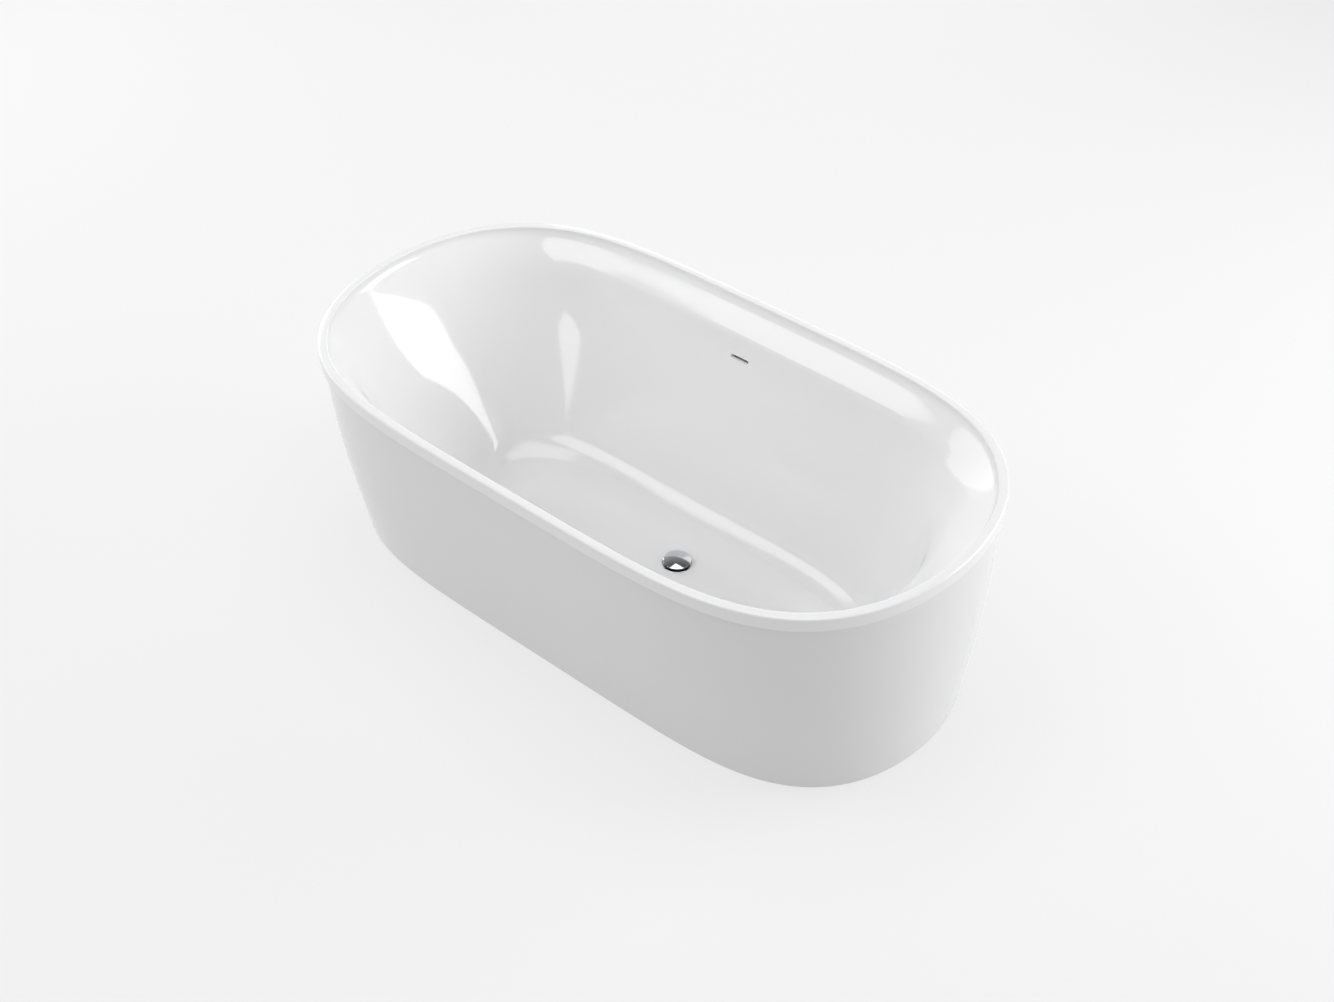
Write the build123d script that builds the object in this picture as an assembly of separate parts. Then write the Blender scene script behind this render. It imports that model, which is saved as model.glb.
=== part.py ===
"""Freestanding oval bathtub with a double wall, a levelling frame, a toe-tap waste and a slot overflow.

Millimetres. X runs along the tub, Y across it, Z up from the bathroom floor.
The overflow is in the +Y wall. Every node is written to its own STEP file.
"""
import os
from math import atan2, cos, pi, sin, sqrt, tan

from build123d import *

# Rim
RIM_HALF_X = 832.0
RIM_HALF_Y = 448.5
RIM_HEIGHT = 538.0
RIM_POWER = 4.63
RIM_FACE = 31.0
RIM_SHEET = 6.0
LIP_WIDTH = 20.0
LIP_DROP = 12.0
LIP_LEAN = 4.0
LIP_FLARE = 7.0
LIP_EDGE = 1.5
EDGE_REACH = 5.0
CUT = 1.0

# Basin
SHOULDER = (760.5, 377.5, 5.2, -3.0, 468.0)
HAUNCH = (693.0, 350.0, 5.4, -7.0, 385.0)
COVE = (570.0, 178.0, 4.0, 75.0, 120.0)
FLOOR = (548.0, 140.0, 3.3, 88.0, 97.0)
FLOOR_HEIGHT = FLOOR[4]
BASIN_REACHES = (3.0, 6.0, 14.0, 28.0, 25.0)
WALL_OUT = 7.0
WALL_DOWN = 4.0
COVE_OUT = 8.0
FLOOR_SHEET = 6.0

# Outer skirt
SKIRT_TUCK = 6.5
SKIRT_SHEET = 6.0
SKIRT_TOP = 515.0
SKIRT_WAIST = (820.0, 402.0, 5.5, 4.0, 258.0)
SKIRT_FOOT = (792.0, 361.0, 5.4, 7.0, 2.0)
WAIST_REACH = 120.0
BEAD_HEIGHT = 5.0
BEAD_WIDTH = 4.0

# Frame
BOARD_HALF_X = 500.0
BOARD_HALF_Y = 118.0
BOARD_SHEET = 12.0
BOARD_HOLE = 45.0
BEARER_X = (-300.0, 460.0)
BEARER_WIDTH = 40.0
BEARER_DEPTH = 25.0
BEARER_HALF_Y = 235.0
BEARER_SHEET = 3.0
SCREW_Y = (-70.0, -30.0, 30.0, 70.0)
SCREW_R = 2.5
SCREW_HEAD_R = 5.0
SCREW_HEAD = 3.0
SCREW_DEPTH = 9.0
BRACKET_SHEET = 3.0
BRACKET_WIDTH = 30.0
BRACKET_START = 190.0
TAB_HEIGHT = 40.0
TAB_GAP = 6.0
BOND_MARGIN = 4.0

# Levelling feet
FOOT_Y = 215.0
PAD_R = 27.0
PAD_SHEET = 6.0
BOSS_R = 13.0
PAD_HEIGHT = 14.0
STUD_R = 6.0
STUD_FOOT = 6.3
STUD_TOP = 125.0
COLLAR_R = 10.0
COLLAR = (14.5, 22.5)
NUT_R = 10.5
NUT_HEIGHT = 9.0
RUNNING_GAP = 0.05
SLIDING_GAP = 0.3

# Waste
WASTE_X = 88.0
FLANGE_R = 36.5
FLANGE_SHEET = 2.5
SEAT_R = 27.0
SEAT_DEPTH = 2.0
TUBE_R = 25.5
TUBE_BORE = 20.0
TUBE_FOOT = 64.0
SHELL_HOLE = 26.0
GASKET_R = 38.0
GASKET_SHEET = 4.0
WASTE_NUT_R = 37.0
WASTE_NUT_HEIGHT = 6.0
CAP_R = 33.0
CAP_LIFT = 6.0
CAP_EDGE = 1.5
CAP_DOME = 4.7
SEAL = (22.0, 26.0)
SEAL_HEIGHT = 2.0
BOSS_HALF = 8.0
BOSS_DROP = 1.8
STEM_R = 3.0
STEM_FOOT = 76.0
HUB_R = 7.0
HUB = (84.0, 90.0)
ARM_WIDTH = 3.0
ARM_COUNT = 3
CLIP_R = 5.5
CLIP_SHEET = 1.5
SPRING_R = 5.3
WIRE_R = 0.6
SPRING_PITCH = 3.0
TEE_R = 30.0
TEE = (30.0, 80.0)
CHAMBER = (44.0, 64.0)
CHAMBER_R = 22.0
ARM_Z = 54.0
ARM_END = 66.0
TAIL_R = 19.05
TAIL_BORE = 17.0
TAIL_NECK_R = 18.4
TAIL_NECK = 21.5
TAIL = (4.0, 43.0)
TAIL_NUT_R = 29.0
TAIL_NUT = (22.0, 29.7)

# Overflow
SLOT_X = -31.0
SLOT_Z = 420.0
SLOT_LENGTH = 52.0
SLOT_HEIGHT = 9.0
TRIM_WALL = 1.2
TRIM_PROUD = 0.8
TRIM_LIP = 3.0
SHELL_AT_SLOT = 8.4
OVERFLOW_GASKET = 2.0
BOX_LENGTH = 72.0
BOX_HEIGHT = 30.0
BOX_DEPTH = 24.0
BOX_WALL = 2.5
PIPE_R = 13.0
PIPE_BORE = 11.0
SPIGOT = (378.0, 408.0)
PIPE_NUT_R = 18.0
PIPE_NUT_HALF = 6.0
PIPE_GAP = 0.5
PIPE_DROP_Z = 320.0
PIPE_LEVEL_Y = 190.0
PIPE_BEND = 60.0

QUARTER_STEPS = 10
CORNER_STEPS = 4


def outline(half_x, half_y, power, centre_x, z):
    """Level oval face |x/half_x|^power + (y/half_y)^2 = 1, the form of every station."""
    quarter = []
    for step in range(QUARTER_STEPS + 1):
        turn = pi / 2 * (1 - (1 - step / QUARTER_STEPS) ** (power / 2))
        quarter.append((half_x * max(cos(turn), 0) ** (2 / power), half_y * sin(turn)))
    upper = quarter + [(-x, y) for x, y in reversed(quarter[:-1])]
    ring = upper + [(x, -y) for x, y in reversed(upper[1:-1])]
    return make_face(Spline(*[(centre_x + x, y, z) for x, y in ring], periodic=True))


def blend(start, end, part):
    """Station part of the way from one station to the next."""
    return tuple(a + (b - a) * part for a, b in zip(start, end))


def soften(stations, reaches):
    """Round the inner corners of a run of stations, each by its own reach."""
    run = [stations[0]]
    for before, corner, after, reach in zip(stations, stations[1:], stations[2:], reaches):
        entry = blend(corner, before, reach / span(corner, before))
        leave = blend(corner, after, reach / span(corner, after))
        for step in range(CORNER_STEPS + 1):
            part = step / CORNER_STEPS
            run.append(blend(blend(entry, corner, part), blend(corner, leave, part), part))
    return run + [stations[-1]]


def span(one, other):
    """Distance between two stations in the cross section."""
    return sqrt((one[1] - other[1]) ** 2 + (one[4] - other[4]) ** 2)


def body(stations):
    """Solid through a run of stations."""
    return loft([outline(*station) for station in stations], ruled=True)


def rim_station(inset, z):
    """Oval at the rim, moved inwards."""
    return (RIM_HALF_X - inset, RIM_HALF_Y - inset, RIM_POWER, 0, z)


def tube(outer, inner, low, high, x=WASTE_X, y=0):
    """Upright ring between two heights."""
    ring = Circle(outer) - Circle(inner)
    return Pos(x, y, low) * extrude(ring, high - low)


def hex_nut(outer, bore, low, high, x=WASTE_X, y=0):
    """Hexagonal nut between two heights."""
    ring = RegularPolygon(outer, 6) - Circle(bore)
    return Pos(x, y, low) * extrude(ring, high - low)


def rod(radius, low, high, x=WASTE_X, y=0):
    """Upright cylinder between two heights."""
    return Pos(x, y, low) * extrude(Circle(radius), high - low)


def feet():
    """Places of the four levelling feet."""
    return [(x, side * FOOT_Y) for x in BEARER_X for side in (-1, 1)]


def grown(station, out, down):
    """Station moved outwards and down."""
    half_x, half_y, power, centre_x, z = station
    return (half_x + out, half_y + out, power, centre_x, z - down)


def slot_plane():
    """Plane on the basin wall at the overflow, its Z pointing out of the basin."""
    lean = atan2(SHOULDER[1] - HAUNCH[1], SHOULDER[4] - HAUNCH[4])
    y = SHOULDER[1] - (SHOULDER[4] - SLOT_Z) * tan(lean)
    return Plane(origin=(SLOT_X, y, SLOT_Z), x_dir=(1, 0, 0), z_dir=(0, cos(lean), -sin(lean)))


def cavity():
    """Space inside the basin."""
    stations = [
        rim_station(LIP_WIDTH - LIP_FLARE, RIM_HEIGHT + CUT),
        rim_station(LIP_WIDTH, RIM_HEIGHT - LIP_EDGE),
        rim_station(LIP_WIDTH + LIP_LEAN, RIM_HEIGHT - LIP_DROP),
        SHOULDER,
        HAUNCH,
        COVE,
        FLOOR,
    ]
    return body(soften(stations, BASIN_REACHES))


def bowl():
    """Outside of the basin below the rim."""
    stations = [
        rim_station(LIP_WIDTH - LIP_FLARE, RIM_HEIGHT - RIM_SHEET / 2),
        rim_station(LIP_WIDTH + LIP_LEAN - WALL_OUT, RIM_HEIGHT - LIP_DROP - WALL_DOWN),
        grown(SHOULDER, WALL_OUT, WALL_DOWN),
        grown(HAUNCH, WALL_OUT, WALL_DOWN),
        grown(COVE, COVE_OUT, FLOOR_SHEET),
        grown(FLOOR, WALL_DOWN, FLOOR_SHEET),
    ]
    return body(soften(stations, BASIN_REACHES[1:]))


def tub_shell():
    """Basin, rolled rim and the turned-down rim face in one sheet."""
    corner = [
        rim_station(0, RIM_HEIGHT - RIM_FACE),
        rim_station(0, RIM_HEIGHT),
        rim_station(2 * EDGE_REACH, RIM_HEIGHT),
    ]
    block = body(soften(corner, (EDGE_REACH,))[:-1])
    pocket = body([rim_station(RIM_SHEET, RIM_HEIGHT - RIM_FACE - CUT),
                   rim_station(RIM_SHEET, RIM_HEIGHT - RIM_SHEET)])
    shell = block - pocket + bowl() - cavity()
    shell -= rod(SHELL_HOLE, FLOOR_HEIGHT - 2 * FLOOR_SHEET, FLOOR_HEIGHT + FLOOR_SHEET)
    return shell - extrude(slot_plane() * SlotOverall(SLOT_LENGTH, SLOT_HEIGHT), SHELL_AT_SLOT * 2, both=True)


def skirt_part(inset, top):
    """Solid oval that follows the skirt, moved inwards."""
    foot = grown(SKIRT_FOOT, -inset, 0)
    waist = grown(SKIRT_WAIST, -inset, 0)
    stations = [foot, waist, rim_station(SKIRT_TUCK + inset, top)]
    return body(soften(stations, (WAIST_REACH,)))


def skirt():
    """Outer wall, nearly upright above its waist and drawn in below it."""
    return skirt_part(0, SKIRT_TOP) - skirt_part(SKIRT_SHEET, SKIRT_TOP)


def rim_bead():
    """Adhesive bead between the skirt's top edge and the rim."""
    low = SKIRT_TOP + SLIDING_GAP
    outer = body([rim_station(SKIRT_TUCK, low), rim_station(SKIRT_TUCK, low + BEAD_HEIGHT)])
    inset = SKIRT_TUCK + BEAD_WIDTH
    inner = body([rim_station(inset, low - CUT), rim_station(inset, low + BEAD_HEIGHT + CUT)])
    return outer - inner


def floor_board():
    """Stiffening board bonded under the basin floor."""
    top = FLOOR_HEIGHT - FLOOR_SHEET
    low = (BOARD_HALF_X, BOARD_HALF_Y, FLOOR[2], FLOOR[3], top - BOARD_SHEET)
    board = body([low, low[:4] + (top,)])
    board -= rod(BOARD_HOLE, top - 2 * BOARD_SHEET, top + BOARD_SHEET)
    for x, y in screw_places():
        board -= rod(SCREW_R + RUNNING_GAP, 0, top - BOARD_SHEET + SCREW_DEPTH + CUT, x, y)
    return board


def screw_places():
    """Board screws, four to a bearer."""
    return [(x, y) for x in BEARER_X for y in SCREW_Y]


def web_top():
    """Height of the bearers' upper face."""
    return FLOOR_HEIGHT - FLOOR_SHEET - BOARD_SHEET


def bearer(x):
    """Channel across the tub, open below."""
    top = web_top()
    channel = Pos(x, 0, top - BEARER_DEPTH / 2) * Box(BEARER_WIDTH, 2 * BEARER_HALF_Y, BEARER_DEPTH)
    inner = BEARER_WIDTH - 2 * BEARER_SHEET
    trough = Box(inner, 2 * BEARER_HALF_Y + CUT, BEARER_DEPTH)
    channel -= Pos(x, 0, top - BEARER_SHEET - BEARER_DEPTH / 2) * trough
    for y in SCREW_Y:
        channel -= rod(SCREW_R + SLIDING_GAP, 0, top + CUT, x, y)
    for side in (-1, 1):
        channel -= rod(STUD_R + SLIDING_GAP, 0, top + CUT, x, side * FOOT_Y)
    return channel


def board_screws():
    """Pan-head screws from the bearers up into the board."""
    seat = web_top() - BEARER_SHEET
    screws = []
    for x, y in screw_places():
        shank = rod(SCREW_R, seat, web_top() + SCREW_DEPTH, x, y)
        screws.append(shank + rod(SCREW_HEAD_R, seat - SCREW_HEAD, seat, x, y))
    return Compound(children=screws)


def tab_face(x, z):
    """Distance from the centre plane to the inside of the skirt."""
    rise = (z - SKIRT_FOOT[4]) / (SKIRT_WAIST[4] - SKIRT_FOOT[4])
    half_x, half_y, power, centre_x, _ = blend(SKIRT_FOOT, SKIRT_WAIST, rise)
    return (half_y - SKIRT_SHEET) * sqrt(1 - (abs(x - centre_x) / half_x) ** power)


def skirt_brackets():
    """Angle brackets from the bearers out to the skirt."""
    brackets = []
    for x, y in feet():
        side = y / FOOT_Y
        end = tab_face(x, web_top()) - TAB_GAP
        middle = (BRACKET_START + end) / 2
        strip = Pos(x, side * middle, web_top() + BRACKET_SHEET / 2)
        bracket = strip * Box(BRACKET_WIDTH, end - BRACKET_START, BRACKET_SHEET)
        tab = Pos(x, side * (end - BRACKET_SHEET / 2), web_top() + TAB_HEIGHT / 2)
        bracket += tab * Box(BRACKET_WIDTH, BRACKET_SHEET, TAB_HEIGHT)
        brackets.append(bracket - rod(STUD_R + SLIDING_GAP, 0, RIM_HEIGHT / 2, x, y))
    return Compound(children=brackets)


def skirt_pads():
    """Bonding pads between the brackets and the skirt."""
    inside = skirt_part(SKIRT_SHEET, SKIRT_TOP)
    pads = []
    for x, y in feet():
        side = y / FOOT_Y
        start = tab_face(x, web_top()) - TAB_GAP
        block = Pos(x, side * (start + BRACKET_WIDTH / 2), web_top() + TAB_HEIGHT / 2)
        bond = Box(BRACKET_WIDTH - BOND_MARGIN, BRACKET_WIDTH, TAB_HEIGHT - BOND_MARGIN)
        pads.append(block * bond & inside)
    return Compound(children=pads)


def lock_nuts(low, count_places):
    """One nut on each levelling stud."""
    nuts = [hex_nut(NUT_R, STUD_R + RUNNING_GAP, low, low + NUT_HEIGHT, x, y) for x, y in count_places]
    return Compound(children=nuts)


def foot_pad(x, y):
    """Floor pad with a socket for the stud's end."""
    pad = rod(PAD_R, 0, PAD_SHEET, x, y) + rod(BOSS_R, 0, PAD_HEIGHT, x, y)
    return pad - rod(STUD_R + RUNNING_GAP, STUD_FOOT - SLIDING_GAP, PAD_HEIGHT + CUT, x, y)


def foot_stud(x, y):
    """Levelling stud with a hexagonal collar for a wrench."""
    collar = Pos(x, y, COLLAR[0]) * extrude(RegularPolygon(COLLAR_R, 6), COLLAR[1] - COLLAR[0])
    return rod(STUD_R, STUD_FOOT, STUD_TOP, x, y) + collar


def drain_flange():
    """Flange on the basin floor with its threaded tube."""
    top = FLOOR_HEIGHT + FLANGE_SHEET
    flange = chamfer(rod(FLANGE_R, FLOOR_HEIGHT, top).edges().sort_by(Axis.Z)[-1], 1)
    flange += rod(TUBE_R, TUBE_FOOT, FLOOR_HEIGHT + CUT)
    flange -= rod(TUBE_BORE, TUBE_FOOT - CUT, top + CUT)
    return flange - rod(SEAT_R, top - SEAT_DEPTH, top + CUT)


def drain_guide():
    """Hub on three arms that guides the cap's stem."""
    guide = rod(HUB_R, HUB[0], HUB[1])
    reach = TUBE_BORE - RUNNING_GAP
    for index in range(ARM_COUNT):
        turn = Rot(0, 0, index * 360 / ARM_COUNT)
        arm = turn * Pos(reach / 2, 0, (HUB[0] + HUB[1]) / 2) * Box(reach, ARM_WIDTH, HUB[1] - HUB[0])
        guide += Pos(WASTE_X, 0, 0) * arm
    guide &= rod(reach, HUB[0], HUB[1])
    return guide - rod(STEM_R + RUNNING_GAP, HUB[0] - CUT, HUB[1] + CUT)


def cap_low():
    """Underside of the cap when it is up."""
    return FLOOR_HEIGHT + FLANGE_SHEET + SLIDING_GAP + CAP_LIFT


def drain_cap():
    """Domed cap with its stem."""
    low = cap_low()
    edge = low + CAP_EDGE
    radius = (CAP_R ** 2 + CAP_DOME ** 2) / (2 * CAP_DOME)
    dome = Pos(WASTE_X, 0, edge + CAP_DOME - radius) * Sphere(radius)
    cap = rod(CAP_R, low, edge + CAP_DOME) & dome
    cap += rod(BOSS_HALF, low - BOSS_DROP, low + CUT)
    return cap + rod(STEM_R, STEM_FOOT, low)


def cap_clip():
    """Clip on the stem that stops the cap at its top."""
    high = HUB[0] - SLIDING_GAP
    return tube(CLIP_R, STEM_R, high - CLIP_SHEET, high)


def cap_spring():
    """Return spring between the guide's hub and the cap."""
    low = HUB[1] + WIRE_R
    height = cap_low() - BOSS_DROP - WIRE_R - low
    coil = Helix(SPRING_PITCH, height, SPRING_R)
    wire = sweep(Plane(coil @ 0, z_dir=coil % 0) * Circle(WIRE_R), coil)
    return Pos(WASTE_X, 0, low) * wire


def drain_tee():
    """Tee that joins the waste, the overflow pipe and the tailpiece."""
    tee = rod(TEE_R, TEE[0], TEE[1])
    arm = Plane(origin=(WASTE_X, 0, ARM_Z), z_dir=(0, 1, 0))
    tee += extrude(arm * Circle(PIPE_R), ARM_END)
    tee -= rod(TUBE_R + RUNNING_GAP, CHAMBER[1], TEE[1] + CUT)
    tee -= rod(CHAMBER_R, CHAMBER[0], CHAMBER[1])
    tee -= rod(TAIL_NECK_R + RUNNING_GAP, TEE[0] - CUT, CHAMBER[0])
    return tee - extrude(arm * Circle(PIPE_BORE), ARM_END + CUT)


def tailpiece():
    """Outlet tube, necked down where the nut and the tee hold it."""
    tail = rod(TAIL_R, TAIL[0], TAIL_NECK) + rod(TAIL_NECK_R, TAIL_NECK - CUT, TAIL[1])
    return tail - rod(TAIL_BORE, TAIL[0] - CUT, TAIL[1] + CUT)


def overflow_trim():
    """Lining of the overflow slot with a thin lip on the basin side."""
    place = slot_plane().offset(-TRIM_PROUD)
    gap = SLIDING_GAP / 2
    liner = extrude(place * SlotOverall(SLOT_LENGTH - 2 * gap, SLOT_HEIGHT - 2 * gap), SHELL_AT_SLOT)
    liner += extrude(place * SlotOverall(SLOT_LENGTH + TRIM_LIP, SLOT_HEIGHT + TRIM_LIP), TRIM_PROUD - gap)
    inner = SlotOverall(SLOT_LENGTH - 2 * TRIM_WALL, SLOT_HEIGHT - 2 * TRIM_WALL)
    return liner - extrude(place * inner, 2 * SHELL_AT_SLOT, both=True)


def overflow_gasket():
    """Flat gasket between the shell and the overflow box."""
    place = slot_plane().offset(SHELL_AT_SLOT)
    hole = 2 * BOX_WALL
    ring = Rectangle(BOX_LENGTH, BOX_HEIGHT) - Rectangle(BOX_LENGTH - hole, BOX_HEIGHT - hole)
    return extrude(place * ring, OVERFLOW_GASKET)


def overflow_box():
    """Collecting box behind the slot with a spigot pointing down."""
    place = slot_plane().offset(SHELL_AT_SLOT + OVERFLOW_GASKET)
    x, y = spigot_place()
    hole = 2 * BOX_WALL
    box = extrude(place * Rectangle(BOX_LENGTH, BOX_HEIGHT), BOX_DEPTH)
    box += rod(PIPE_R, SPIGOT[0], SPIGOT[1], x, y)
    box -= extrude(place * Rectangle(BOX_LENGTH - hole, BOX_HEIGHT - hole), BOX_DEPTH - BOX_WALL)
    return box - rod(PIPE_BORE, SPIGOT[0] - CUT, SPIGOT[1], x, y)


def spigot_place():
    """Plan position of the overflow box's spigot."""
    middle = slot_plane().offset(SHELL_AT_SLOT + OVERFLOW_GASKET + BOX_DEPTH / 2).origin
    return middle.X, middle.Y


def overflow_pipe():
    """Bent pipe from the overflow box down to the tee."""
    x, y = spigot_place()
    start = (x, y, SPIGOT[0] - PIPE_GAP)
    drop = (x, y, PIPE_DROP_Z)
    level = (WASTE_X, PIPE_LEVEL_Y, ARM_Z)
    end = (WASTE_X, ARM_END + PIPE_GAP, ARM_Z)
    path = FilletPolyline(start, drop, level, end, radius=PIPE_BEND)
    ring = Circle(PIPE_R) - Circle(PIPE_BORE)
    return sweep(Plane(start, z_dir=(0, 0, -1)) * ring, path)


def pipe_nuts():
    """Compression nuts at both ends of the overflow pipe."""
    x, y = spigot_place()
    seam = SPIGOT[0] - PIPE_GAP / 2
    bore = PIPE_R + RUNNING_GAP
    upper = hex_nut(PIPE_NUT_R, bore, seam - PIPE_NUT_HALF, seam + PIPE_NUT_HALF, x, y)
    ring = RegularPolygon(PIPE_NUT_R, 6) - Circle(bore)
    place = Plane(origin=(WASTE_X, ARM_END - PIPE_NUT_HALF, ARM_Z), z_dir=(0, 1, 0))
    return Compound(children=[upper, extrude(place * ring, 2 * PIPE_NUT_HALF)])


def build():
    """All nodes by name."""
    under = FLOOR_HEIGHT - FLOOR_SHEET
    nodes = {
        "tub_shell": tub_shell(),
        "skirt": skirt(),
        "rim_bead": rim_bead(),
        "floor_board": floor_board(),
        "bearer_left": bearer(BEARER_X[0]),
        "bearer_right": bearer(BEARER_X[1]),
        "board_screws": board_screws(),
        "skirt_brackets": skirt_brackets(),
        "skirt_pads": skirt_pads(),
        "nuts_upper": lock_nuts(web_top() + BRACKET_SHEET, feet()),
        "nuts_lower": lock_nuts(web_top() - BEARER_SHEET - NUT_HEIGHT, feet()),
        "drain_flange": drain_flange(),
        "drain_gasket": tube(GASKET_R, TUBE_R + RUNNING_GAP, under - GASKET_SHEET, under),
        "drain_nut": hex_nut(WASTE_NUT_R, TUBE_R + RUNNING_GAP, under - GASKET_SHEET - WASTE_NUT_HEIGHT,
                             under - GASKET_SHEET),
        "drain_guide": drain_guide(),
        "drain_cap": drain_cap(),
        "cap_seal": tube(SEAL[1], SEAL[0], cap_low() - SEAL_HEIGHT, cap_low()),
        "cap_clip": cap_clip(),
        "cap_spring": cap_spring(),
        "drain_tee": drain_tee(),
        "tail_nut": hex_nut(TAIL_NUT_R, TAIL_NECK_R + RUNNING_GAP, TAIL_NUT[0], TAIL_NUT[1]),
        "tailpiece": tailpiece(),
        "overflow_trim": overflow_trim(),
        "overflow_gasket": overflow_gasket(),
        "overflow_box": overflow_box(),
        "overflow_pipe": overflow_pipe(),
        "pipe_nuts": pipe_nuts(),
    }
    for number, (x, y) in enumerate(feet(), 1):
        nodes[f"foot_pad_{number}"] = foot_pad(x, y)
        nodes[f"foot_stud_{number}"] = foot_stud(x, y)
    return nodes


os.makedirs("parts", exist_ok=True)
for name, shape in build().items():
    export_step(shape, f"parts/{name}.step")
    print(name, len(shape.solids()), round(shape.volume / 1000, 1))
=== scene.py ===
# %% [markdown]
# # A freestanding bathtub
#
# The tub is two acrylic skins: a basin whose rim is rolled over, and an outer skirt that
# tucks up behind the rim. Under them sit a stiffening board, two steel bearers on
# levelling feet, and the waste with its overflow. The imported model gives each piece's box
# and place; this file adds the sizes between them, and each piece's shape and finish.

# %% Load the frame
import math

import bmesh
import bpy
from mathutils import Euler, Matrix, Vector


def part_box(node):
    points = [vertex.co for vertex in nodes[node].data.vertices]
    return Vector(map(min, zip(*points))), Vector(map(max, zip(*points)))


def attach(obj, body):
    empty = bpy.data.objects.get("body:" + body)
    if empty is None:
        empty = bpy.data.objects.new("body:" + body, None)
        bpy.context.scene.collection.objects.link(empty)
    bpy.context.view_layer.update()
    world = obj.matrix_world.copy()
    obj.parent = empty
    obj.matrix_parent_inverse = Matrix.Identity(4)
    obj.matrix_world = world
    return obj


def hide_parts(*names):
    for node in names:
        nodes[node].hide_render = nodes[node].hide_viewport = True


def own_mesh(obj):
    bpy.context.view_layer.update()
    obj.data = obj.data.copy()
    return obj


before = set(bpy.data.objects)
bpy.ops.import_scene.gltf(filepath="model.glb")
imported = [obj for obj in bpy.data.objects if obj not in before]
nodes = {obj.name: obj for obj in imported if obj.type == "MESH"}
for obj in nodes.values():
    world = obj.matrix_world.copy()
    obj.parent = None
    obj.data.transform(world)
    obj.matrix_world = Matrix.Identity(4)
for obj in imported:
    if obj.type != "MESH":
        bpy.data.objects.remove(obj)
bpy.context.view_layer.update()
MM = 0.001

# %% [markdown]
# ## Node graphs as expressions
#
# Both the shape of an oval shell and the grain of a board are sums and products of node
# sockets. Wrapping a socket in a small class lets Python's own operators add the Math
# nodes, so that a rule reads as it would on paper.

# %% Sockets and graphs
class Value:
    """A node socket that can stand in a Python expression."""

    def __init__(self, graph, socket):
        self.graph = graph
        self.socket = socket

    def maths(self, operation, *values):
        return self.graph.add("ShaderNodeMath", {"operation": operation}, dict(enumerate(values)))

    def __add__(self, other):
        return self.maths("ADD", self, other)

    def __sub__(self, other):
        return self.maths("SUBTRACT", self, other)

    def __rsub__(self, other):
        return self.maths("SUBTRACT", other, self)

    def __mul__(self, other):
        return self.maths("MULTIPLY", self, other)

    def __truediv__(self, other):
        return self.maths("DIVIDE", self, other)

    def __rtruediv__(self, other):
        return self.maths("DIVIDE", other, self)

    def __pow__(self, other):
        return self.maths("POWER", self, other)

    __radd__ = __add__
    __rmul__ = __mul__


class Graph:
    """A node tree with one method that adds any node."""

    def __init__(self, tree):
        self.tree = tree
        self.tree.nodes.clear()

    def add(self, kind, settings=None, inputs=None, out=0):
        """Adds a node: its settings first, then its sockets' values or links."""
        node = self.tree.nodes.new(kind)
        for key, setting in (settings or {}).items():
            setattr(node, key, setting)
        for key, value in (inputs or {}).items():
            if isinstance(value, Value):
                self.tree.links.new(value.socket, node.inputs[key])
            else:
                node.inputs[key].default_value = value
        return Value(self, node.outputs[out]) if node.outputs else node


print("sockets ready")


# %% [markdown]
# ## Finishes
#
# Acrylic is a white plastic with a polished skin. What the eye reads as "real" is small:
# a faint cloudiness in the sheet, a gloss that is not quite even, and the soft ripple
# that vacuum forming leaves. Each finish below varies its colour and roughness and adds
# a shallow bump, at the scale that the real material has.

# %% Material helper
MIX_FACTOR, MIX_COLOUR_A, MIX_COLOUR_B, MIX_COLOUR_OUT = 0, 6, 7, 2
OBJECT_COORDINATES = 3


def finish(name, colour, roughness, bump=None, metallic=0.0, **extra):
    """Principled material; colour, roughness and bump are functions of the graph."""
    material = bpy.data.materials.new(name)
    material.use_nodes = True
    graph = Graph(material.node_tree)
    place = graph.add("ShaderNodeTexCoord", out=OBJECT_COORDINATES)
    inputs = {"Base Color": colour(graph, place), "Roughness": roughness(graph, place)}
    if bump:
        height, depth = bump
        relief = {"Strength": 1.0, "Distance": depth, "Height": height(graph, place)}
        inputs["Normal"] = graph.add("ShaderNodeBump", None, relief)
    inputs["Metallic"] = metallic
    inputs.update(extra)
    shader = graph.add("ShaderNodeBsdfPrincipled", None, inputs)
    graph.add("ShaderNodeOutputMaterial", None, {"Surface": shader})
    return material


def noise(graph, place, scale, detail=2.0, stretch=(1, 1, 1), seed=0.0):
    """Noise between 0 and 1, its features about 1 / scale metres across."""
    mapping = {"Vector": place, "Location": (seed,) * 3, "Scale": stretch}
    moved = graph.add("ShaderNodeMapping", None, mapping)
    return graph.add("ShaderNodeTexNoise", None, {"Vector": moved, "Scale": scale, "Detail": detail})


def tint(low, high, pattern):
    """Colour that goes from low to high with a pattern of the graph."""
    def colour(graph, place):
        mix = {MIX_FACTOR: pattern(graph, place), MIX_COLOUR_A: (*low, 1), MIX_COLOUR_B: (*high, 1)}
        return graph.add("ShaderNodeMix", {"data_type": "RGBA"}, mix, out=MIX_COLOUR_OUT)
    return colour


def spread(low, high, pattern):
    """Number that goes from low to high with a pattern of the graph."""
    def value(graph, place):
        return pattern(graph, place) * (high - low) + low
    return value


print("material helper ready")

# %% Acrylic
def cloudy(graph, place):
    return noise(graph, place, 2.5, 3.0)


def wiped(graph, place):
    broad = noise(graph, place, 6.0, 2.0, seed=4.0)
    fine = noise(graph, place, 90.0, 3.0, (1.0, 1.0, 0.25), seed=9.0)
    return broad * 0.6 + fine * 0.4


def ripple(graph, place):
    soft = noise(graph, place, 7.0, 1.0, seed=2.0)
    peel = noise(graph, place, 160.0, 1.0, seed=6.0)
    return soft + peel * 0.03


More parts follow.
